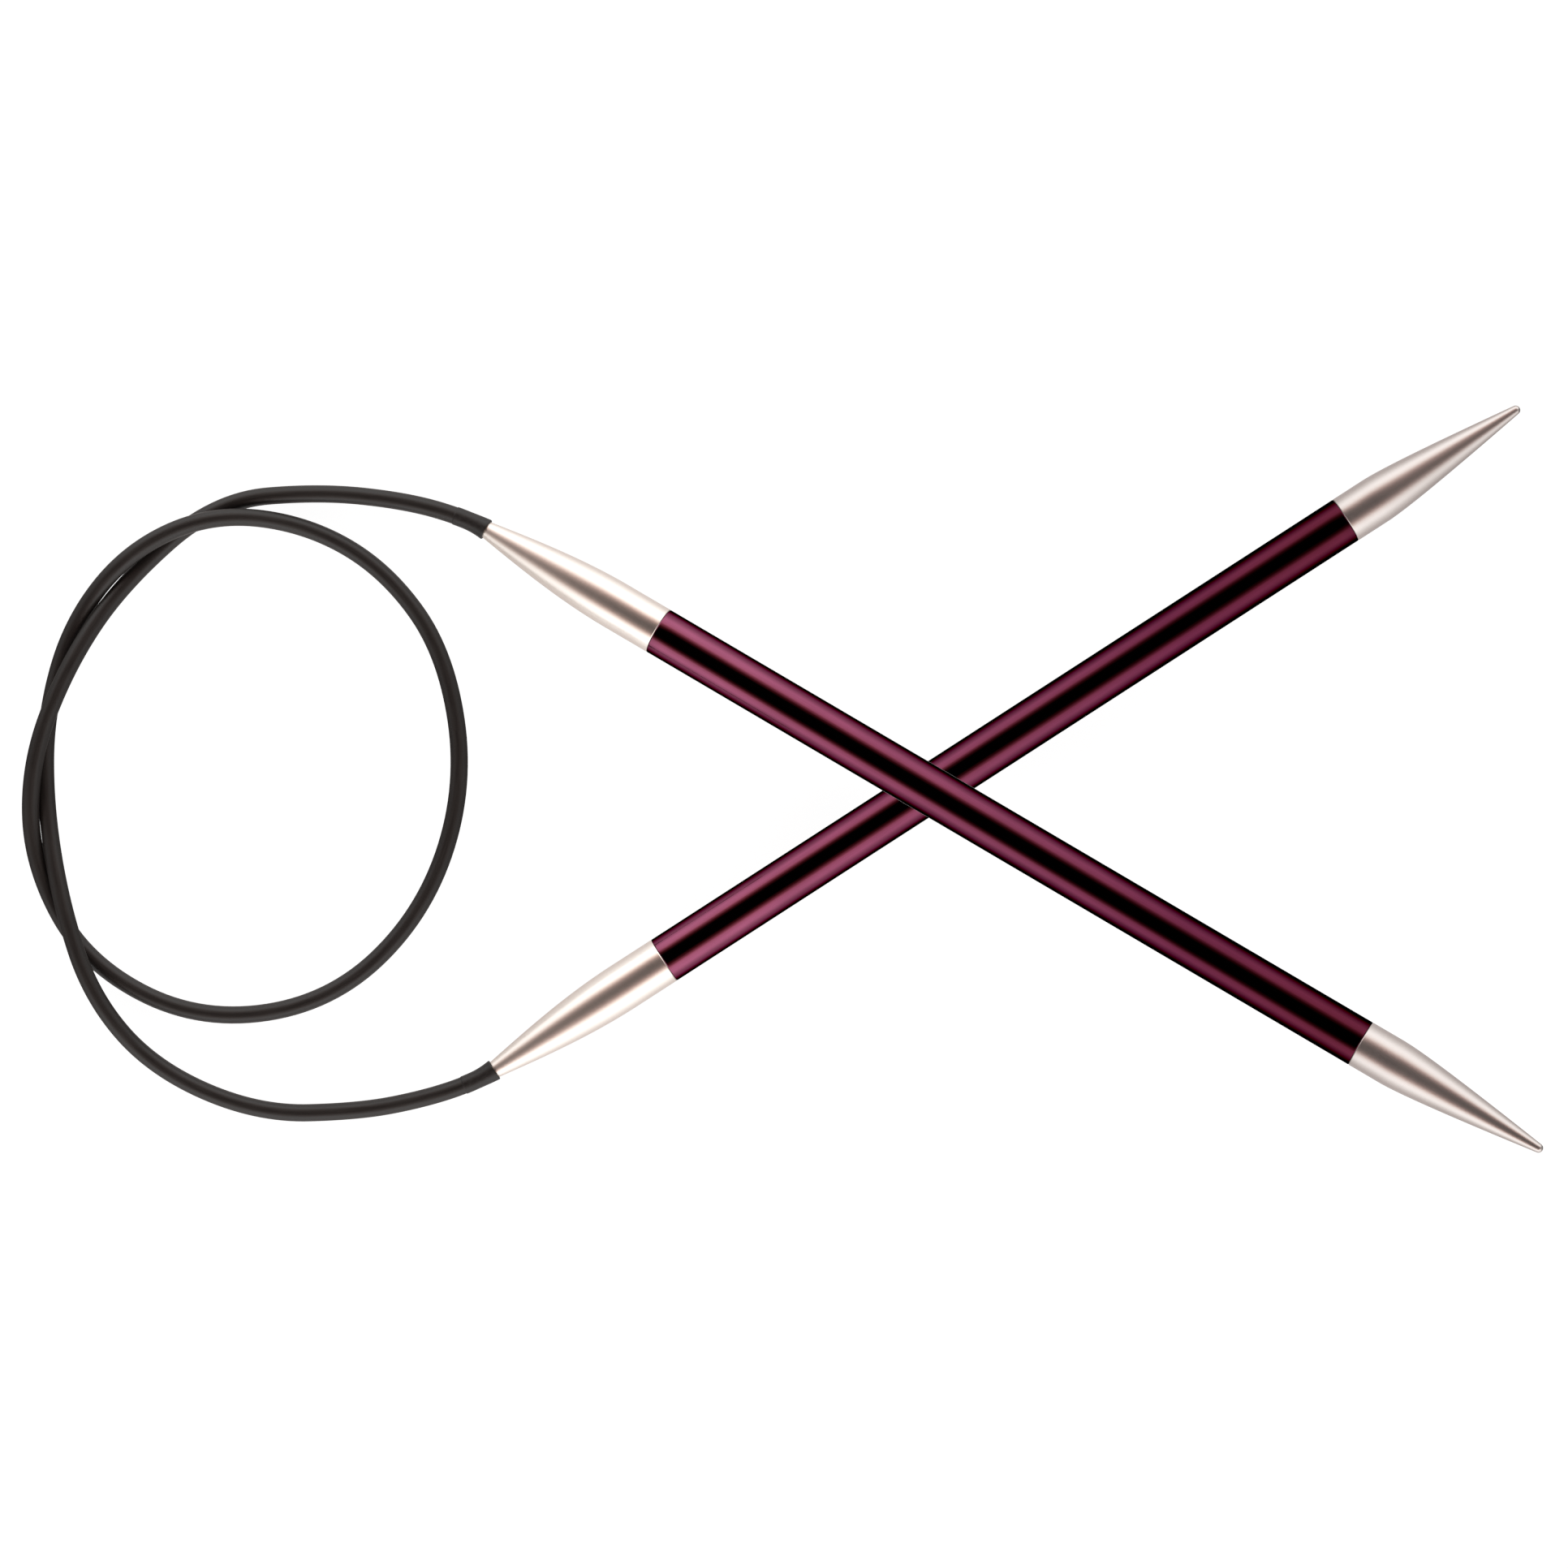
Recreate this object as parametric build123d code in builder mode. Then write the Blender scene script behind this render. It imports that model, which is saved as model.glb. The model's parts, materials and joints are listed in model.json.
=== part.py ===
"""A circular knitting needle: two rigid needles joined by one flexible cord.

Millimetres, +Z up, resting on z = 0. The lower needle lies flat, the upper one lies across it,
and the cord loops round on the surface behind them. Along a needle, the distance s runs from the
ferrule's nose, where the cord enters, to the tip. Each needle is a thin tube with a solid point
pressed into one end and a hollow ferrule pressed into the other. A headed anchor inside the
ferrule holds the cord's end, and a short cuff covers it.
"""
from build123d import *
from math import asin, cos, pi, radians, sin, tan
import os

os.makedirs("parts", exist_ok=True)

# Needle: gauge and lengths along the axis
gauge = 5.5
shaft_r = gauge / 2
ferrule_length = 23.1
tube_length = 92.4
point_length = 23.6
tube_wall = 0.6
bore_r = shaft_r - tube_wall
spigot_length = 8.0
spigot_lead_in = 0.3

# Point: a straight land, then a long bullet-shaped taper to a small blunt tip
point_land = 4.0
taper_pull_start = 7.0
taper_pull_end = 15.5
taper_pull_end_r = 1.62
tip_r = 0.54
tip_slope = 8.0

# Ferrule: slim nose swelling to the shaft, hollow behind the anchor's head
nose_r = 0.97
ferrule_taper = 17.5
ferrule_pull_nose = 5.5
ferrule_pull_nose_r = 1.85
ferrule_pull_shaft = 11.5
cavity_start = 7.0
cavity_r = 1.15

# Anchor: headed pin, its shank inside the cord's end
shank_r = 0.5
shank_reach = 3.0
head_length = 1.6

# Cuff: flares towards the ferrule's nose
cuff_length = 4.0
cuff_front_r = 1.15
cuff_back_r = 1.05

# Cord
cord_diameter = 2.0
cord_r = cord_diameter / 2
exit_run = 6.0
corner_share = 0.45

# Rest pose: where the needles cross in plan, how far that is from each nose, and their headings
crossing = (-7.2, -1.5)
crossing_from_nose = 58.9
upper_heading = -30.5
lower_heading = 32.86
crossing_rise = 6.11
lower_axis_height = shaft_r
upper_axis_height = lower_axis_height + crossing_rise

# The upper needle slopes down from the crossing until its cord lies on the surface
slope_length = crossing_from_nose + cuff_length + exit_run
upper_tilt = asin((upper_axis_height - cord_r) / slope_length)

# Cord's route on the surface, from behind the upper needle to behind the lower one. The middle
# of the cord goes round twice, and its two strands twist about each other: at each of the three
# crossings the upper strand passes over in a low hump.
low = cord_r
hump = 6.3
loop_points = [
    (-76.5, 33.4, low),
    (-88.0, 31.9, low),
    (-99.0, 22.0, low),
    (-105.3, 12.8, hump),
    (-109.6, 1.5, hump),
    (-110.6, -9.8, low),
    (-103.8, -21.5, low),
    (-90.5, -28.0, low),
    (-75.5, -26.0, low),
    (-64.5, -15.7, low),
    (-60.0, -1.0, low),
    (-62.0, 13.8, low),
    (-69.0, 23.5, low),
    (-78.0, 29.0, low),
    (-88.5, 30.0, hump),
    (-98.5, 26.0, hump),
    (-105.6, 17.8, low),
    (-107.5, 7.3, low),
    (-107.0, -3.2, low),
    (-105.6, -14.5, hump),
    (-102.4, -25.2, hump),
    (-95.8, -33.3, low),
    (-86.0, -38.4, low),
    (-74.5, -40.6, low),
]


def needle_plane(heading, tilt, axis_height):
    """A plane whose x runs along the needle from its nose, and whose y is its radius."""
    along = Vector(
        cos(tilt) * cos(radians(heading)),
        cos(tilt) * sin(radians(heading)),
        sin(tilt),
    )
    sideways = Vector(-sin(radians(heading)), cos(radians(heading)), 0)
    centre = Vector(crossing[0], crossing[1], axis_height)
    return Plane(
        origin=centre - along * crossing_from_nose,
        x_dir=along,
        z_dir=along.cross(sideways),
    )


def spin(plane):
    """Turn the sketch in hand about the needle's axis."""
    revolve(axis=Axis(plane.origin, plane.x_dir))


def on_axis(plane, s):
    """The point on a needle's axis at distance s from its nose."""
    return plane.origin + plane.x_dir * s


def volume_of(cord_part, path_length, name):
    """Print how a cord piece's volume compares with its section times its length."""
    expected = pi * cord_r**2 * path_length
    print(f"{name}: length {path_length:.1f} mm, volume/expected {cord_part.volume / expected:.4f}")


needles = {
    "upper": needle_plane(upper_heading, upper_tilt, upper_axis_height),
    "lower": needle_plane(lower_heading, 0, lower_axis_height),
}
tube_start = ferrule_length
tube_end = ferrule_length + tube_length

for side, plane in needles.items():
    # Tube: the parallel shaft that the stitches slide on
    with BuildPart() as tube:
        with BuildSketch(plane):
            with Locations(((tube_start + tube_end) / 2, (shaft_r + bore_r) / 2)):
                Rectangle(tube_length, tube_wall)
        spin(plane)
    tube.part.label = f"{side}_tube"
    export_step(tube.part, f"parts/{side}_tube.step")

    # Point: spigot inside the tube, land, taper and tip in one turned piece
    spigot_end = tube_end - spigot_length
    tip_centre = tube_end + point_length - tip_r
    slope = radians(tip_slope)
    with BuildPart() as point:
        with BuildSketch(plane):
            with BuildLine():
                Polyline(
                    (tube_end + point_length, 0),
                    (spigot_end, 0),
                    (spigot_end, bore_r - spigot_lead_in),
                    (spigot_end + spigot_lead_in, bore_r),
                    (tube_end, bore_r),
                    (tube_end, shaft_r),
                    (tube_end + point_land, shaft_r),
                )
                Bezier(
                    (tube_end + point_land, shaft_r),
                    (tube_end + taper_pull_start, shaft_r),
                    (tube_end + taper_pull_end, taper_pull_end_r),
                    (tip_centre + tip_r * sin(slope), tip_r * cos(slope)),
                )
                CenterArc((tip_centre, 0), tip_r, 0, 90 - tip_slope)
            make_face()
        spin(plane)
    point.part.label = f"{side}_point"
    export_step(point.part, f"parts/{side}_point.step")

    # Ferrule: hollow cone with a small hole in its nose, and a spigot inside the tube
    spigot_end = ferrule_length + spigot_length
    with BuildPart() as ferrule:
        with BuildSketch(plane):
            with BuildLine():
                swell = Bezier(
                    (0, nose_r),
                    (ferrule_pull_nose, ferrule_pull_nose_r),
                    (ferrule_pull_shaft, shaft_r),
                    (ferrule_taper, shaft_r),
                )
                Polyline(
                    swell @ 1,
                    (ferrule_length, shaft_r),
                    (ferrule_length, bore_r),
                    (spigot_end - spigot_lead_in, bore_r),
                    (spigot_end, bore_r - spigot_lead_in),
                    (spigot_end, cavity_r),
                    (cavity_start, cavity_r),
                    (cavity_start, shank_r),
                    (0, shank_r),
                    (0, nose_r),
                )
            make_face()
        spin(plane)
    ferrule.part.label = f"{side}_ferrule"
    export_step(ferrule.part, f"parts/{side}_ferrule.step")

    # Anchor: its head sits against the cavity's floor and its shank runs back into the cord
    with BuildPart() as anchor:
        with BuildSketch(plane):
            with BuildLine():
                Polyline(
                    (-shank_reach, 0),
                    (-shank_reach, shank_r),
                    (cavity_start, shank_r),
                    (cavity_start, cavity_r),
                    (cavity_start + head_length, cavity_r),
                    (cavity_start + head_length, 0),
                    (-shank_reach, 0),
                )
            make_face()
        spin(plane)
    anchor.part.label = f"{side}_anchor"
    export_step(anchor.part, f"parts/{side}_anchor.step")

    # Cuff: collar round the cord's end, closed behind the anchor's shank
    with BuildPart() as cuff:
        with BuildSketch(plane):
            with BuildLine():
                Polyline(
                    (0, shank_r),
                    (0, cuff_front_r),
                    (-cuff_length / 2, cuff_back_r),
                    (-cuff_length, cuff_back_r),
                    (-cuff_length, 0),
                    (-shank_reach, 0),
                    (-shank_reach, shank_r),
                    (0, shank_r),
                )
            make_face()
        spin(plane)
    cuff.part.label = f"{side}_cuff"
    export_step(cuff.part, f"parts/{side}_cuff.step")


# Cord: one length in three pieces, split where it bends most when a needle swings
route = [
    on_axis(needles["upper"], -cuff_length),
    on_axis(needles["upper"], -cuff_length - exit_run),
    *[Vector(*place) for place in loop_points],
    on_axis(needles["lower"], -cuff_length - exit_run),
    on_axis(needles["lower"], -cuff_length),
]
radii = []
for before, corner, after in zip(route, route[1:], route[2:]):
    shorter_run = min((corner - before).length, (after - corner).length)
    half_turn = radians((corner - before).get_angle(after - corner)) / 2
    radii.append(corner_share * shorter_run / tan(half_turn))
print("corner radii:", [round(r, 1) for r in radii])

upper_split = (route[1] + route[2]) / 2
lower_split = (route[-3] + route[-2]) / 2
sections = {
    "cord_lead_upper": ([*route[:2], upper_split], radii[:1]),
    "cord_loop": ([upper_split, *route[2:-2], lower_split], radii[1:-1]),
    "cord_lead_lower": ([lower_split, *route[-2:]], radii[-1:]),
}
for name, (corners, corner_radii) in sections.items():
    with BuildPart() as cord:
        with BuildLine() as path:
            FilletPolyline(*corners, radius=corner_radii)
        start = path.wire()
        with BuildSketch(Plane(origin=start @ 0, z_dir=start % 0)):
            Circle(cord_r)
        sweep(path=start)
    cord.part.label = name
    export_step(cord.part, f"parts/{name}.step")
    volume_of(cord.part, start.length, name)

print("hinges:", upper_split, lower_split, on_axis(needles["upper"], -cuff_length / 2))
print("upper needle:", needles["upper"].origin, needles["upper"].x_dir)
print("lower needle:", needles["lower"].origin, needles["lower"].x_dir)
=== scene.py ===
"""A circular knitting needle: two plum shafts with metal ends, joined by one black nylon cord.

Metres, +Z up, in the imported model's frame. Each needle's axis comes from its shaft mount, and the
length of every turned piece from its node's vertices. Along a needle, s runs from the ferrule's
nose, where the cord enters, to the tip.
"""

import json
import math

import bmesh
import bpy
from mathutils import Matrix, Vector


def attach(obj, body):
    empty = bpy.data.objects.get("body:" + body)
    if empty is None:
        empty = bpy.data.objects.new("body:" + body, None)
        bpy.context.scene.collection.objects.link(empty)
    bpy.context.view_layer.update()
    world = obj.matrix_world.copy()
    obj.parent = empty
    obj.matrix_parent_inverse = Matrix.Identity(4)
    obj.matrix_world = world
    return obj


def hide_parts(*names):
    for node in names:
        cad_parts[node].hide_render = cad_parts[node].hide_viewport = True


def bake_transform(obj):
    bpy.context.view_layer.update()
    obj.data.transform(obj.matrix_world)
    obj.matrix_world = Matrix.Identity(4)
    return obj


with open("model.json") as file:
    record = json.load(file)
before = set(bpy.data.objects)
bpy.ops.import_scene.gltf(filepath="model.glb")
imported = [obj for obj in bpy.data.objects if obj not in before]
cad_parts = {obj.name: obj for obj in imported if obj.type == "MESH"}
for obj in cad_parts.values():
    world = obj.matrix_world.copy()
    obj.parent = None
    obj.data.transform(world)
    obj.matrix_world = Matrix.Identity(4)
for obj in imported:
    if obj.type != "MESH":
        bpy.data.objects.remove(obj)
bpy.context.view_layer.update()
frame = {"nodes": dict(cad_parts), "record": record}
record = frame["record"]

MM = 0.001
SIDES = ("upper", "lower")
mounts = {m["name"]: m for m in record["mounts"]}

# Turned pieces: radii, and lengths along the needle. The pulls are the two inner control points of
# a taper's curve, as distance along and radius.
SHAFT_R = mounts["upper_shaft"]["dims"]["r_mm"] * MM
TUBE_LENGTH = 92.4 * MM
TUBE_WALL = 0.6 * MM
POINT_LENGTH = 23.6 * MM
POINT_LAND = 4.0 * MM
POINT_PULLS = ((7.0 * MM, SHAFT_R), (15.5 * MM, 1.62 * MM))
TIP_R = 0.54 * MM
TIP_SLOPE = math.radians(8)
FERRULE_LENGTH = 23.1 * MM
FERRULE_TAPER = 17.5 * MM
FERRULE_PULLS = ((5.5 * MM, 1.85 * MM), (11.5 * MM, SHAFT_R))
NOSE_R = 0.97 * MM

# Turned pieces: eased edges, and how finely they are divided
EDGE = 0.12 * MM
EDGE_STEPS = 4
LONG_STEP = 1.5 * MM
CURVE_STEPS = 48
TIP_STEPS = 12
AROUND = 160
SHARP = math.radians(38)

# Cuff, swept round the cord's own line: it flares over a share of its length towards the ferrule
CUFF_LENGTH = 4.0 * MM
CUFF_FRONT_R = 1.25 * MM
CUFF_BACK_R = 1.06 * MM
CUFF_FLARE_SHARE = 0.62
CUFF_FLARE_POWER = 1.6
CUFF_EDGE = 0.06 * MM
CUFF_EDGE_SHARE = 0.8
CUFF_STEPS = 40

# Cord. Its visible part starts a little inside each cuff.
CORD_R = 1.0 * MM
BURIED = 0.7 * MM
CORD_AROUND = 32
CORD_RESOLUTION = 14
# Points nearer than this to where the cord's line is cut give way to the cut's own point
CLOSE = 0.01 * MM

# The cord's route, in millimetres, from the upper needle's nose to the lower one's. LOW is the
# height of a strand on the table, and OVER the height of one that passes over another.
LOW = 1.0
OVER = 3.2
CORD_ROUTE = [
    (-57.49, 28.12, 2.16),
    (-59.5, 29.31, 1.89),
    (-66.4, 31.4, 1.15),
    (-76.5, 32.5, LOW),
    (-88.4, 31.5, LOW),
    (-99.1, 22.0, 1.5),
    (-105.2, 12.7, OVER),
    (-109.5, 1.5, OVER),
    (-109.4, -10.0, LOW),
    (-103.3, -21.3, LOW),
    (-90.4, -28.0, LOW),
    (-75.4, -25.9, LOW),
    (-64.6, -15.6, LOW),
    (-59.9, -1.1, LOW),
    (-62.1, 13.9, LOW),
    (-68.9, 23.5, LOW),
    (-78.0, 28.8, LOW),
    (-88.6, 30.0, 3.3),
    (-98.1, 25.8, OVER),
    (-104.8, 17.7, LOW),
    (-107.8, 7.3, LOW),
    (-107.89, -3.2, LOW),
    (-105.9, -14.5, OVER),
    (-102.4, -25.2, OVER),
    (-95.4, -33.4, LOW),
    (-83.6, -38.5, LOW),
    (-72.1, -38.2, 1.4),
    (-64.5, -36.7, 2.5),
    (-58.6, -34.7, 2.75),
    (-56.55, -33.38, 2.75),
]


# ---------------------------------------------------------------- needle axes

def shaft_axis(side):
    """A point on the needle's axis and its direction towards the tip, from its shaft mount."""
    mount = mounts[f"{side}_shaft"]
    return Vector(mount["pos_m"]), Vector(mount["axis"]).normalized()


def reach(side, node):
    """How far along the needle's axis the node starts and ends, from the mount's point."""
    origin, along = shaft_axis(side)
    steps = [(v.co - origin).dot(along) for v in frame["nodes"][f"{side}_{node}"].data.vertices]
    return min(steps), max(steps)


# ---------------------------------------------------------------- meshes

def weighted(weights, points):
    """The sum of the points of an outline, each times its weight."""
    return tuple(sum(w * p[k] for w, p in zip(weights, points)) for k in (0, 1))


def bezier(*pulls):
    """Points along a cubic curve, both ends included."""
    out = []
    for i in range(CURVE_STEPS + 1):
        t = i / CURVE_STEPS
        weights = ((1 - t) ** 3, 3 * t * (1 - t) ** 2, 3 * t * t * (1 - t), t ** 3)
        out.append(weighted(weights, pulls))
    return out


def straight(start, end):
    """Points from start to end at a steady spacing, so that long runs aren't one thin face."""
    count = max(1, round(math.dist(start, end) / LONG_STEP))
    return [weighted((1 - i / count, i / count), (start, end)) for i in range(count + 1)]


def rounded(corner, before, after):
    """A corner of an outline, eased by a small quadratic arc."""
    def towards(target):
        share = EDGE / math.dist(corner, target)
        return weighted((1 - share, share), (corner, target))

    start, end = towards(before), towards(after)
    out = []
    for i in range(EDGE_STEPS + 1):
        t = i / EDGE_STEPS
        weights = ((1 - t) ** 2, 2 * t * (1 - t), t * t)
        out.append(weighted(weights, (start, corner, end)))
    return out


def new_object(name, mesh_data, material):
    """A mesh object with smooth faces and one material, linked into the scene."""
    obj = bpy.data.objects.new(name, mesh_data)
    bpy.context.scene.collection.objects.link(obj)
    mesh_data.materials.append(material)
    mesh_data.polygons.foreach_set("use_smooth", [True] * len(mesh_data.polygons))
    return obj


def skin(name, rings, tips, lengths, material):
    """A closed tube through rings of points. tips are the centre points that close its two ends,
    or None to join the last ring to the first. lengths gives each ring's distance along, for the
    U of the UV map, and V runs once round."""
    bm = bmesh.new()
    uv = bm.loops.layers.uv.new("along")
    around = len(rings[0])
    last = len(rings) - 1
    verts = [[bm.verts.new(p) for p in ring] for ring in rings]
    pairs = [(ring, ring + 1) for ring in range(last)]
    if tips is None:
        pairs.append((last, 0))
    for a, b in pairs:
        for j in range(around):
            k = (j + 1) % around
            face = bm.faces.new((verts[a][j], verts[a][k], verts[b][k], verts[b][j]))
            places = ((a, j), (a, j + 1), (b, j + 1), (b, j))
            for loop, (ring, turn) in zip(face.loops, places):
                loop[uv].uv = (lengths[ring], turn / around)
    if tips is not None:
        for tip, ring, order in ((tips[0], 0, 1), (tips[1], last, -1)):
            centre = bm.verts.new(tip)
            for j in range(around):
                k = (j + 1) % around
                corners = (centre, verts[ring][k], verts[ring][j])[::order]
                face = bm.faces.new(corners)
                for loop in face.loops:
                    loop[uv].uv = (lengths[ring], j / around)
    bmesh.ops.recalc_face_normals(bm, faces=bm.faces)
    for edge in bm.edges:
        if len(edge.link_faces) == 2 and edge.calc_face_angle() > SHARP:
            edge.smooth = False
    mesh_data = bpy.data.meshes.new(name)
    bm.to_mesh(mesh_data)
    bm.free()
    return new_object(name, mesh_data, material)


def lathe(name, side, outline, start, material):
    """A turned piece. outline lists (distance from start, radius), and an outline that starts and
    ends on the axis is a solid one, while any other is closed on itself round a bore."""
    origin, along = shaft_axis(side)
    sideways = Vector((0, 0, 1)).cross(along).normalized()
    up = along.cross(sideways)
    solid = outline[0][1] == 0 and outline[-1][1] == 0

    def place(s, r, turn):
        angle = 2 * math.pi * turn / AROUND
        return origin + along * (start + s) + (up * math.cos(angle) + sideways * math.sin(angle)) * r

    turned = outline[1:-1] if solid else outline
    rings = [[place(s, r, j) for j in range(AROUND)] for s, r in turned]
    tips = (place(*outline[0], 0), place(*outline[-1], 0)) if solid else None
    return skin(name, rings, tips, [s for s, r in turned], material)


# ---------------------------------------------------------------- turned pieces

def tube_outline(length):
    """The shaft's wall: outer skin, eased ends and the bore, as one closed loop."""
    bore_r = SHAFT_R - TUBE_WALL
    corners = [(0, bore_r), (0, SHAFT_R), (length, SHAFT_R), (length, bore_r)]
    outer_start = rounded(corners[1], corners[0], corners[2])
    outer_end = rounded(corners[2], corners[1], corners[3])
    return [
        corners[0],
        *outer_start,
        *straight(outer_start[-1], outer_end[0])[1:-1],
        *outer_end,
        corners[3],
        *straight(corners[3], corners[0])[1:-1],
    ]


def point_outline(length):
    """The visible point: flat back, eased shoulder, land, long taper and a round tip."""
    centre = length - TIP_R
    shoulder = rounded((0, SHAFT_R), (0, 0), (POINT_LAND, SHAFT_R))
    taper_end = (centre + TIP_R * math.sin(TIP_SLOPE), TIP_R * math.cos(TIP_SLOPE))
    taper = bezier((POINT_LAND, SHAFT_R), *POINT_PULLS, taper_end)
    tip_angles = [(math.pi / 2 - TIP_SLOPE) * (1 - i / TIP_STEPS) for i in range(1, TIP_STEPS)]
    tip = [(centre + TIP_R * math.cos(a), TIP_R * math.sin(a)) for a in tip_angles]
    return [
        (0, 0),
        *shoulder,
        *straight(shoulder[-1], (POINT_LAND, SHAFT_R))[1:-1],
        *taper,
        *tip,
        (length, 0),
    ]


def ferrule_outline(length):
    """The visible ferrule: small flat nose, swelling cone and a short parallel land."""
    swell = bezier((0, NOSE_R), *FERRULE_PULLS, (FERRULE_TAPER, SHAFT_R))
    nose = rounded((0, NOSE_R), (0, 0), swell[1])
    shoulder = rounded((length, SHAFT_R), (FERRULE_TAPER, SHAFT_R), (length, 0))
    return [
        (0, 0),
        *nose,
        *swell[1:],
        *straight((FERRULE_TAPER, SHAFT_R), shoulder[0])[1:-1],
        *shoulder,
        (length, 0),
    ]


# ---------------------------------------------------------------- cord and cuffs

def cord_line():
    """The cord's centreline: points of a quadratic NURBS spline with CORD_ROUTE as its controls."""
    curve = bpy.data.curves.new("cord_line", "CURVE")
    curve.dimensions = "3D"
    curve.resolution_u = CORD_RESOLUTION
    spline = curve.splines.new("NURBS")
    spline.points.add(len(CORD_ROUTE) - 1)
    for point, place in zip(spline.points, CORD_ROUTE):
        point.co = (*(Vector(place) * MM), 1)
    spline.order_u = 3
    spline.use_endpoint_u = True
    obj = bpy.data.objects.new("cord_line", curve)
    line_mesh = bpy.data.meshes.new_from_object(obj)
    line = [v.co.copy() for v in line_mesh.vertices]
    bpy.data.objects.remove(obj)
    bpy.data.curves.remove(curve)
    bpy.data.meshes.remove(line_mesh)
    return line


def distances(line):
    """How far along the line each of its points is."""
    out = [0.0]
    for a, b in zip(line, line[1:]):
        out.append(out[-1] + (b - a).length)
    return out


def frames_along(line):
    """Two directions across the line at each of its points, turning as little as they can."""
    across = Vector((0, 0, 1))
    out = []
    for i in range(len(line)):
        ahead = (line[min(i + 1, len(line) - 1)] - line[max(i - 1, 0)]).normalized()
        across = (across - ahead * across.dot(ahead)).normalized()
        out.append((across.copy(), ahead.cross(across)))
    return out


def sweep(name, line, radii, material):
    """A round tube along a line, closed flat at both ends."""
    turns = [2 * math.pi * j / CORD_AROUND for j in range(CORD_AROUND)]
    rings = []
    for centre, (up, side), radius in zip(line, frames_along(line), radii):
        rings.append([centre + (up * math.cos(a) + side * math.sin(a)) * radius for a in turns])
    return skin(name, rings, (line[0], line[-1]), distances(line), material)


def cut(line, start, end):
    """The stretch of a line between two distances along it, with exact ends."""
    steps = distances(line)

    def at(d):
        i = max(k for k in range(len(line) - 1) if steps[k] <= d)
        return line[i].lerp(line[i + 1], (d - steps[i]) / (steps[i + 1] - steps[i]))

    inside = [p for p, d in zip(line, steps) if start + CLOSE < d < end - CLOSE]
    return [at(start), *inside, at(end)]


# ---------------------------------------------------------------- materials

def srgb(red, green, blue):
    """A colour given in 0-255 screen values, as linear light."""
    def linear(value):
        c = value / 255
        return c / 12.92 if c <= 0.04045 else ((c + 0.055) / 1.055) ** 2.4

    return linear(red), linear(green), linear(blue)


def colour_ramp(nodes, stops):
    """A ramp node through stops, each a place from 0 to 1 with a colour or a grey."""
    ramp = nodes.new("ShaderNodeValToRGB")
    elements = ramp.color_ramp.elements
    while len(elements) < len(stops):
        elements.new(0.5)
    for element, (place, colour) in zip(elements, stops):
        element.position = place
        element.color = (*colour, 1) if isinstance(colour, tuple) else (colour, colour, colour, 1)
    return ramp


def multiplied(nodes, link, a, b):
    """One colour socket times another, by a mix node: its inputs 0, 6 and 7 are factor and colours."""
    mix = nodes.new("ShaderNodeMix")
    mix.data_type = "RGBA"
    mix.blend_type = "MULTIPLY"
    mix.inputs[0].default_value = 1
    link(a, mix.inputs[6])
    link(b, mix.inputs[7])
    return mix.outputs[2]


class Shader:
    """A node material with one Principled shader, and short calls to add and link nodes."""

    def __init__(self, name, **constants):
        self.material = bpy.data.materials.new(name)
        self.material.use_nodes = True
        self.nodes = self.material.node_tree.nodes
        self.links = self.material.node_tree.links
        self.principled = self.nodes["Principled BSDF"]
        for key, value in constants.items():
            self.principled.inputs[key.replace("_", " ")].default_value = value

    def add(self, kind, **settings):
        """A new node. Settings named after an input set it, and the rest are node properties."""
        node = self.nodes.new(kind)
        for key, value in settings.items():
            label = key.replace("_", " ")
            if label in node.inputs:
                node.inputs[label].default_value = value
            else:
                setattr(node, key, value)
        return node

    def link(self, out_socket, in_socket):
        self.links.new(out_socket, in_socket)

    def uv(self, scale):
        """The piece's own UV map, in metres along and turns round, times scale."""
        uv = self.add("ShaderNodeUVMap", uv_map="along")
        mapping = self.add("ShaderNodeMapping")
        mapping.inputs["Scale"].default_value = scale
        self.link(uv.outputs["UV"], mapping.inputs["Vector"])
        return mapping.outputs["Vector"]

    def noise(self, vector, scale, detail=4.0, roughness=0.55):
        noise = self.add("ShaderNodeTexNoise", Scale=scale, Detail=detail, Roughness=roughness)
        self.link(vector, noise.inputs["Vector"])
        return noise.outputs["Fac"]

    def ramp(self, value, *stops):
        """Colours or greys for a value from 0 to 1."""
        ramp = colour_ramp(self.nodes, stops)
        self.link(value, ramp.inputs["Fac"])
        return ramp.outputs["Color"]

    def times(self, a, b):
        """One colour or grey times another."""
        return multiplied(self.nodes, self.links.new, a, b)

    def along(self, length, **settings):
        """How far along the piece a point is, from 0 to 1 over length, or over To_Min to To_Max."""
        split = self.add("ShaderNodeSeparateXYZ")
        self.link(self.uv((1, 0, 0)), split.inputs["Vector"])
        place = self.add("ShaderNodeMapRange", From_Max=length, **settings)
        self.link(split.outputs["X"], place.inputs["Value"])
        return place.outputs["Result"]

    def bump(self, height, strength, distance):
        bump = self.add("ShaderNodeBump", Strength=strength, Distance=distance)
        self.link(height, bump.inputs["Height"])
        self.link(bump.outputs["Normal"], self.principled.inputs["Normal"])

    def set(self, socket, name):
        self.link(socket, self.principled.inputs[name])


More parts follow.
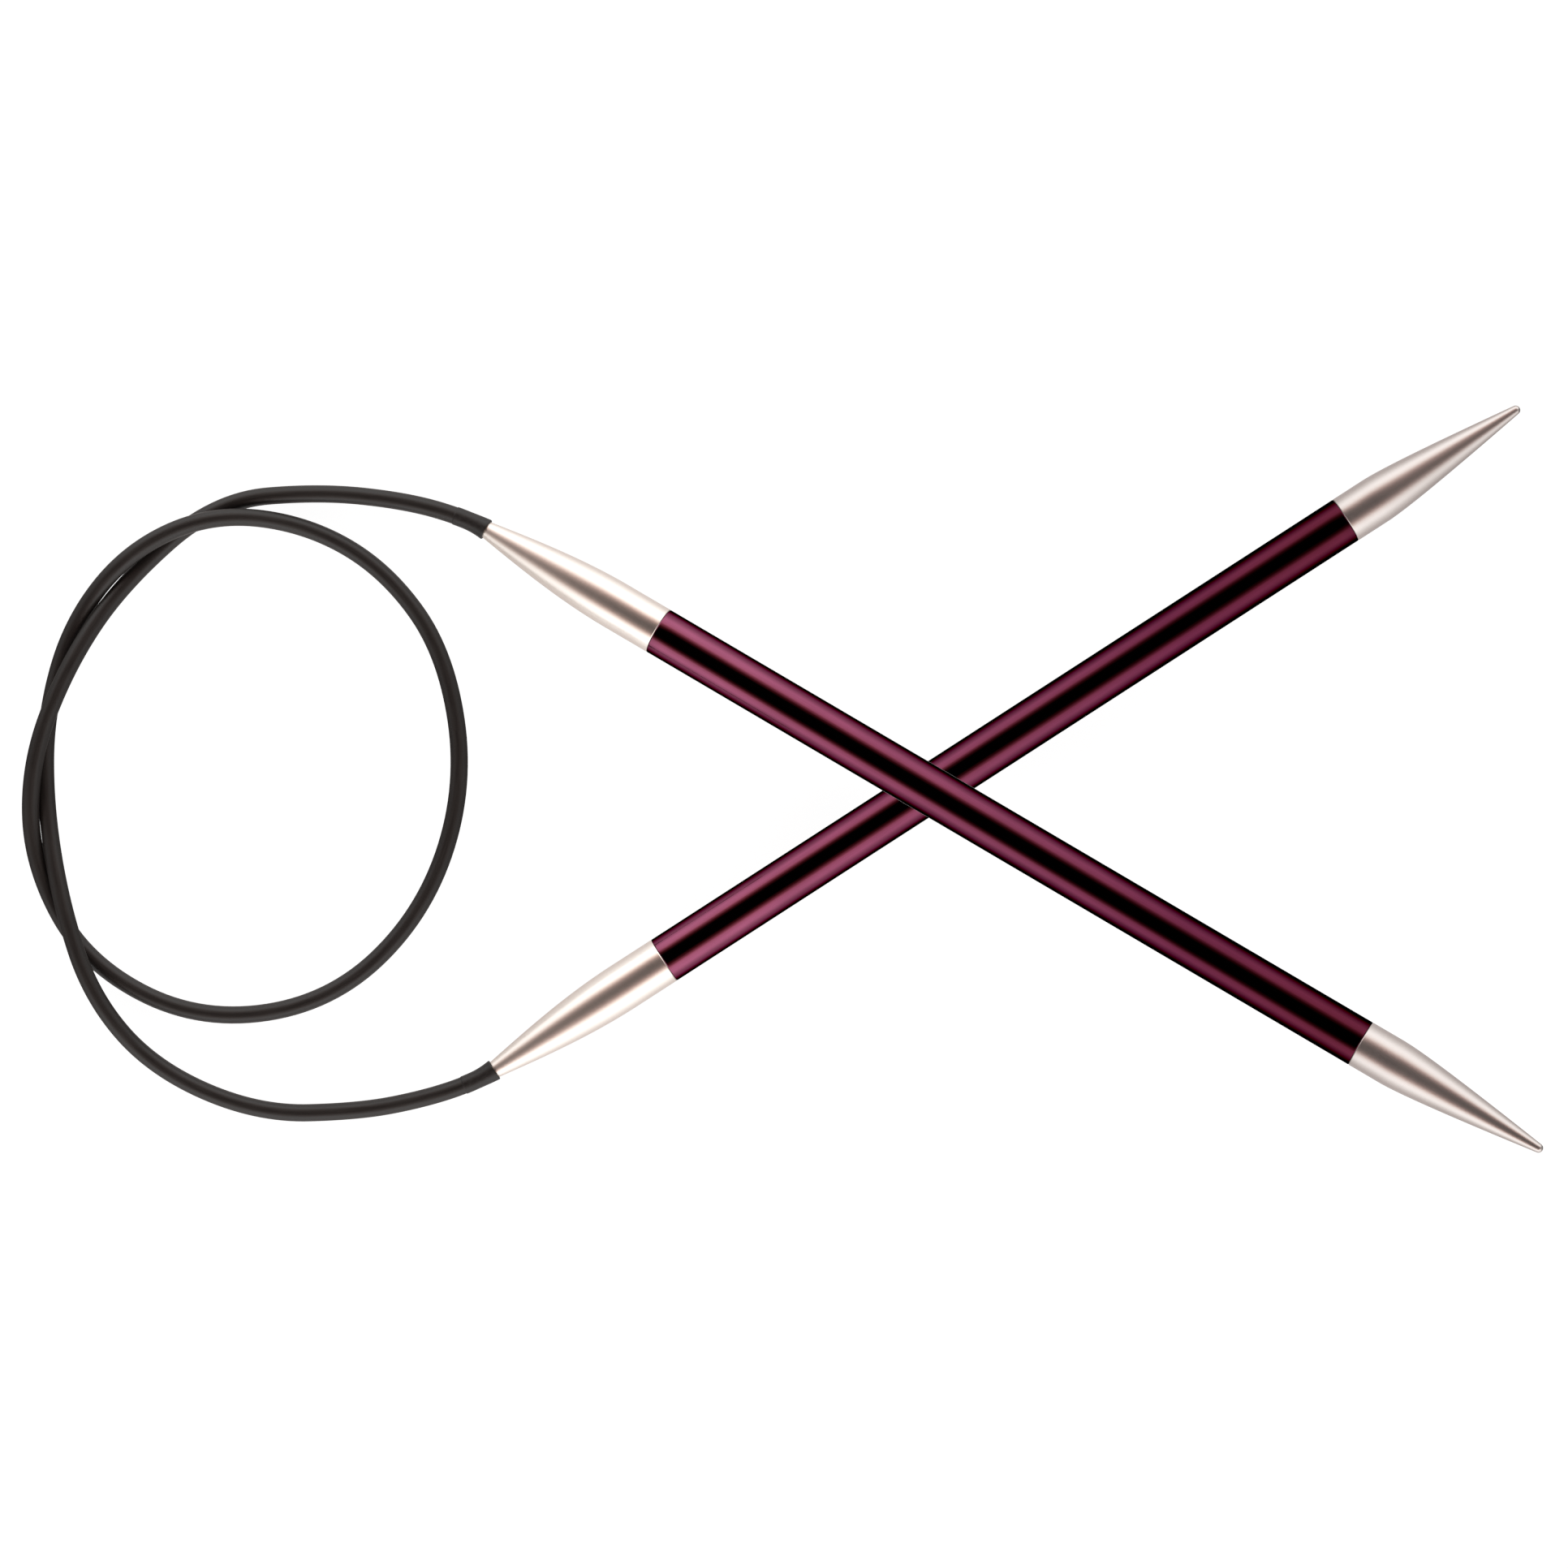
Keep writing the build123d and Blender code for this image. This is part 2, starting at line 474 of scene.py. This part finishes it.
def anodised_shaft():
    """Plum dyed aluminium: glossy and drawn along its length, with painted shade that darkens it
    towards the tip.
    """
    shader = Shader("anodised_shaft", Metallic=1.0, Coat_Weight=0.0)
    shader.principled.inputs["Specular Tint"].default_value = (0, 0, 0, 1)
    drawn = shader.noise(shader.uv((60, 55, 1)), 3.0, detail=5.0, roughness=0.6)
    cloud = shader.noise(shader.uv((90, 2.5, 1)), 1.6, detail=3.0)
    # The plum colour, darkened along the tube towards the tip by painted shade that stands in for
    # light falling off along the needle
    plum_with_painted_shade = shader.ramp(
        shader.along(TUBE_LENGTH),
        (0.05, (0.157, 0.0425, 0.0775)),
        (0.25, (0.124, 0.0297, 0.058)),
        (0.75, (0.0613, 0.0096, 0.0248)),
        (0.95, (0.0548, 0.0075, 0.0176)),
    )
    shade = shader.ramp(cloud, (0.30, 0.86), (0.70, 1.0))
    lines = shader.ramp(drawn, (0.35, 0.90), (0.65, 1.0))
    shader.set(shader.times(shader.times(plum_with_painted_shade, shade), lines), "Base Color")
    shader.set(shader.ramp(drawn, (0.30, 0.08), (0.75, 0.14)), "Roughness")
    shader.bump(drawn, 0.04, 0.03 * MM)
    return shader.material


def turned_metal(name, length, metallic, colour, shade, roughness):
    """Metal finished in a lathe: fine rings and a soft change of tone, from shade to colour.
    roughness is given at the piece's start and at its end, length further on."""
    shader = Shader(name, Metallic=metallic)
    rings = shader.noise(shader.uv((4200, 1.2, 1)), 1.0, detail=2.0)
    cloud = shader.noise(shader.uv((160, 3, 1)), 1.3, detail=4.0)
    tone = shader.ramp(cloud, (0.25, shade), (0.75, colour))
    fine = shader.ramp(rings, (0.30, 0.97), (0.70, 1.0))
    shader.set(shader.times(tone, fine), "Base Color")
    polish = shader.along(length, To_Min=roughness[0], To_Max=roughness[1])
    uneven = shader.ramp(rings, (0.25, 0.92), (0.80, 1.0))
    shader.set(shader.times(polish, uneven), "Roughness")
    shader.bump(rings, 0.008, 0.01 * MM)
    return shader.material


def cord_nylon():
    """Charcoal nylon: semi-gloss, with faint lines along it and a slightly uneven surface."""
    shader = Shader("cord_nylon", IOR=1.5)
    shader.principled.inputs["Specular IOR Level"].default_value = 0.3
    drawn = shader.noise(shader.uv((120, 9, 1)), 2.0, detail=4.0)
    uneven = shader.noise(shader.uv((420, 2, 1)), 1.0, detail=3.0)
    tone = shader.ramp(drawn, (0.30, srgb(27, 24, 23)), (0.70, srgb(34, 31, 29)))
    shader.set(tone, "Base Color")
    shader.set(shader.ramp(drawn, (0.25, 0.38), (0.75, 0.50)), "Roughness")
    shader.bump(uneven, 0.12, 0.06 * MM)
    return shader.material


def cuff_rubber():
    """Moulded satin black cuff with a fine grain."""
    shader = Shader("cuff_rubber", IOR=1.5)
    shader.principled.inputs["Specular IOR Level"].default_value = 0.3
    grain = shader.noise(shader.uv((1800, 14, 1)), 1.0, detail=5.0)
    tone = shader.ramp(grain, (0.30, srgb(22, 20, 19)), (0.75, srgb(34, 31, 30)))
    shader.set(tone, "Base Color")
    shader.set(shader.ramp(grain, (0.25, 0.38), (0.75, 0.55)), "Roughness")
    shader.bump(grain, 0.15, 0.03 * MM)
    return shader.material


def anchor_brass():
    """Plain turned brass, hidden inside the ferrule."""
    shader = Shader("anchor_brass", Metallic=1.0)
    place = shader.add("ShaderNodeTexCoord").outputs["Object"]
    mottle = shader.noise(place, 900.0, detail=4.0)
    tone = shader.ramp(mottle, (0.3, srgb(176, 138, 72)), (0.7, srgb(212, 178, 104)))
    shader.set(tone, "Base Color")
    shader.set(shader.ramp(mottle, (0.3, 0.28), (0.7, 0.42)), "Roughness")
    return shader.material


def table_white():
    """Matt table with a trace of unevenness. It glows on the object, and is white when seen."""
    shader = Shader("table_white", Roughness=0.9)
    seen = shader.add("ShaderNodeLightPath").outputs["Is Camera Ray"]
    glow = shader.add("ShaderNodeMapRange", To_Min=TABLE_GLOW, To_Max=TABLE_SEEN)
    shader.link(seen, glow.inputs["Value"])
    shader.set(glow.outputs["Result"], "Emission Strength")
    shader.principled.inputs["Specular IOR Level"].default_value = 0.1
    shader.principled.inputs["Emission Color"].default_value = (1, 1, 1, 1)
    place = shader.add("ShaderNodeTexCoord").outputs["Object"]
    fibre = shader.noise(place, 40.0, detail=3.0)
    shader.set(shader.ramp(fibre, (0.3, 0.10), (0.7, 0.12)), "Base Color")
    return shader.material


# ---------------------------------------------------------------- needles

def turned_kinds():
    """The three turned pieces that show: outline, material and finish slot."""
    point_metal = turned_metal(
        "point_metal",
        POINT_LENGTH,
        metallic=0.87,
        colour=(0.452, 0.410, 0.391),
        shade=(0.424, 0.384, 0.366),
        roughness=(0.35, 0.33),
    )
    ferrule_metal = turned_metal(
        "ferrule_metal",
        FERRULE_LENGTH,
        metallic=0.95,
        colour=(0.80, 0.724, 0.665),
        shade=(0.766, 0.69, 0.632),
        roughness=(0.43, 0.34),
    )
    return {
        "tube": (tube_outline, anodised_shaft(), "anodised_shaft"),
        "point": (point_outline, point_metal, "point_metal"),
        "ferrule": (ferrule_outline, ferrule_metal, "ferrule_metal"),
    }


def needle(side, kinds, brass):
    """A needle's turned pieces. The anchor inside it keeps its CAD shape, in brass."""
    tube_start, tube_end = reach(side, "tube")
    spans = {
        "tube": (tube_start, tube_end),
        "ferrule": (reach(side, "ferrule")[0], tube_start),
        "point": (tube_end, reach(side, "point")[1]),
    }
    for kind, (start, end) in spans.items():
        outline, material, slot = kinds[kind]
        piece = lathe(f"{side}_{kind}_skin", side, outline(end - start), start, material)
        piece.visible_glossy = False
        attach(piece, f"{side}_needle")
        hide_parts(f"{side}_{kind}")
    anchor = frame["nodes"][f"{side}_anchor"]
    anchor.data.materials.clear()
    anchor.data.materials.append(brass)


# ---------------------------------------------------------------- cord and its cuffs

def cuff(side, stretch, rubber):
    """The sleeve round the cord's end: flared and eased at the ferrule, thin behind."""
    length = distances(stretch)[-1]
    places = [length * i / CUFF_STEPS for i in range(CUFF_STEPS + 1)]
    radii = []
    for place in places:
        flare = max(0.0, 1 - place / (CUFF_FLARE_SHARE * length)) ** CUFF_FLARE_POWER
        radius = CUFF_BACK_R + (CUFF_FRONT_R - CUFF_BACK_R) * flare
        from_edge = min(place, length - place) / CUFF_EDGE
        if from_edge < 1:
            radius -= CUFF_EDGE * (1 - math.sqrt(1 - (1 - from_edge) ** 2)) * CUFF_EDGE_SHARE
        radii.append(radius)
    centres = [stretch[0], *(cut(stretch, 0, place)[-1] for place in places[1:])]
    piece = sweep(f"{side}_cuff_skin", centres, radii, rubber)
    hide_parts(f"{side}_cuff")
    return piece


def cord_half(side, outward, lead_node, nylon):
    """Half of the cord, from its needle to the middle."""
    # Both halves are swept the same way along the cord, so that they meet without a twist
    stretch = outward if side == "upper" else outward[::-1]
    piece = sweep(f"cord_{side}_half", stretch, [CORD_R] * len(stretch), nylon)
    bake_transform(piece)
    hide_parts(lead_node, "cord_loop")


def cord_and_cuffs():
    """The cord's two halves and the cuffs at its ends."""
    line = cord_line()
    total = distances(line)[-1]
    rubber = cuff_rubber()
    upper_cuff = cuff("upper", cut(line, 0, CUFF_LENGTH), rubber)
    lower_cuff = cuff("lower", cut(line[::-1], 0, CUFF_LENGTH), rubber)
    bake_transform(upper_cuff)
    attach(lower_cuff, "lower_needle")

    nylon = cord_nylon()
    exit_at = CUFF_LENGTH - BURIED
    upper_half = cut(line, exit_at, total / 2)
    lower_half = cut(line, total / 2, total - exit_at)[::-1]
    cord_half("upper", upper_half, "cord_lead_upper", nylon)
    cord_half("lower", lower_half, "cord_lead_lower", nylon)


# ---------------------------------------------------------------- floor, light and camera

# Brightness and colour of the studio by angle from straight up, in degrees: dark round the camera,
# a broad bright ring, and a dim surround below the table's edge
RING = (
    (24, (0.0, 0.0, 0.0)),
    (34, (0.10, 0.035, 0.028)),
    (44, (0.46, 0.32, 0.28)),
    (50, (0.84, 0.77, 0.73)),
    (61, (0.97, 0.955, 0.95)),
    (74, (1.0, 1.0, 1.0)),
    (95, (0.54, 0.53, 0.52)),
    (121, (0.30, 0.28, 0.275)),
    (180, (0.27, 0.25, 0.245)),
)
# The dark patch overhead sits a little towards -X
LEAN = (0.15, 0.0, 0.0)
# Share of the ring's light by where it comes from: 0 is from -Y, 0.5 from either side, 1 from +Y
SIDES_OF_RING = ((0.10, 1.0), (0.33, 0.22), (0.67, 0.22), (0.90, 1.0))
RING_STRENGTH = 3.0
# The camera's response: shares of WHITE against brightness shown, straight and then a soft shoulder
WHITE = 1.15
RESPONSE = (
    (0.12, 0.138),
    (0.24, 0.276),
    (0.36, 0.414),
    (0.478, 0.545),
    (0.609, 0.68),
    (0.739, 0.80),
    (0.87, 0.91),
)
# Brightness of the backdrop and the table as the camera sees them, and the table's as the object does
BACKDROP = 1.15
TABLE_SEEN = 1.1
TABLE_GLOW = 0.5
TABLE_REACH = 1.5
# Camera: height over the shafts in metres, and focal length and sensor in millimetres
CAMERA_DISTANCE = 0.992
CAMERA_LENS = 200
SENSOR_WIDTH = 36
VIEW_CENTRE = Vector((-23.6 * MM, -0.85 * MM, SHAFT_R))


def studio():
    """Soft light all round from a ring, stronger from the two long sides, and a plain backdrop."""
    world = bpy.data.worlds.new("studio")
    world.use_nodes = True
    bpy.context.scene.world = world
    nodes, link = world.node_tree.nodes, world.node_tree.links.new
    direction = nodes.new("ShaderNodeTexCoord").outputs["Generated"]

    def normalised(vector, operation, amount):
        """A direction changed by amount, and brought back to length 1, as its three parts."""
        change = nodes.new("ShaderNodeVectorMath")
        change.operation = operation
        change.inputs[1].default_value = amount
        link(vector, change.inputs[0])
        unit = nodes.new("ShaderNodeVectorMath")
        unit.operation = "NORMALIZE"
        link(change.outputs["Vector"], unit.inputs[0])
        split = nodes.new("ShaderNodeSeparateXYZ")
        link(unit.outputs["Vector"], split.inputs["Vector"])
        return split.outputs

    height = nodes.new("ShaderNodeMath")
    height.operation = "ARCCOSINE"
    link(normalised(direction, "ADD", LEAN)["Z"], height.inputs[0])
    from_zenith = nodes.new("ShaderNodeMath")
    from_zenith.operation = "DIVIDE"
    from_zenith.inputs[1].default_value = math.pi
    link(height.outputs["Value"], from_zenith.inputs[0])
    ring = colour_ramp(nodes, [(degrees / 180, colour) for degrees, colour in RING])
    link(from_zenith.outputs["Value"], ring.inputs["Fac"])

    share = nodes.new("ShaderNodeMapRange")
    share.inputs["From Min"].default_value = -1
    link(normalised(direction, "MULTIPLY", (1, 1, 0))["Y"], share.inputs["Value"])
    side = colour_ramp(nodes, SIDES_OF_RING)
    link(share.outputs["Result"], side.inputs["Fac"])

    lamp = nodes["Background"]
    lamp.inputs["Strength"].default_value = RING_STRENGTH
    link(multiplied(nodes, link, ring.outputs["Color"], side.outputs["Color"]), lamp.inputs["Color"])
    backdrop = nodes.new("ShaderNodeBackground")
    backdrop.inputs["Color"].default_value = (BACKDROP, BACKDROP, BACKDROP, 1)
    seen = nodes.new("ShaderNodeMixShader")
    link(nodes.new("ShaderNodeLightPath").outputs["Is Camera Ray"], seen.inputs["Fac"])
    link(lamp.outputs["Background"], seen.inputs[1])
    link(backdrop.outputs["Background"], seen.inputs[2])
    link(seen.outputs["Shader"], nodes["World Output"].inputs["Surface"])


def table():
    """The glowing white table that the needle lies on."""
    bm = bmesh.new()
    bmesh.ops.create_grid(bm, x_segments=24, y_segments=24, size=TABLE_REACH)
    mesh_data = bpy.data.meshes.new("table")
    bm.to_mesh(mesh_data)
    bm.free()
    floor = new_object("table", mesh_data, table_white())
    floor.visible_glossy = False


def look_down():
    """The camera, straight above the needle."""
    data = bpy.data.cameras.new("camera")
    data.lens = CAMERA_LENS
    data.sensor_width = SENSOR_WIDTH
    camera = bpy.data.objects.new("camera", data)
    bpy.context.scene.collection.objects.link(camera)
    camera.location = VIEW_CENTRE + Vector((0, 0, CAMERA_DISTANCE))
    bpy.context.scene.camera = camera


def respond():
    """The camera's response, so that bright metal keeps its tone instead of clipping."""
    view = bpy.context.scene.view_settings
    view.view_transform = "Standard"
    view.use_curve_mapping = True
    view.curve_mapping.white_level = (WHITE, WHITE, WHITE)
    combined = view.curve_mapping.curves[3]
    for place, value in RESPONSE:
        combined.points.new(place, value)
    view.curve_mapping.update()


# ---------------------------------------------------------------- the whole scene

kinds = turned_kinds()
brass = anchor_brass()
for side in SIDES:
    needle(side, kinds, brass)
cord_and_cuffs()
table()
studio()
look_down()
respond()
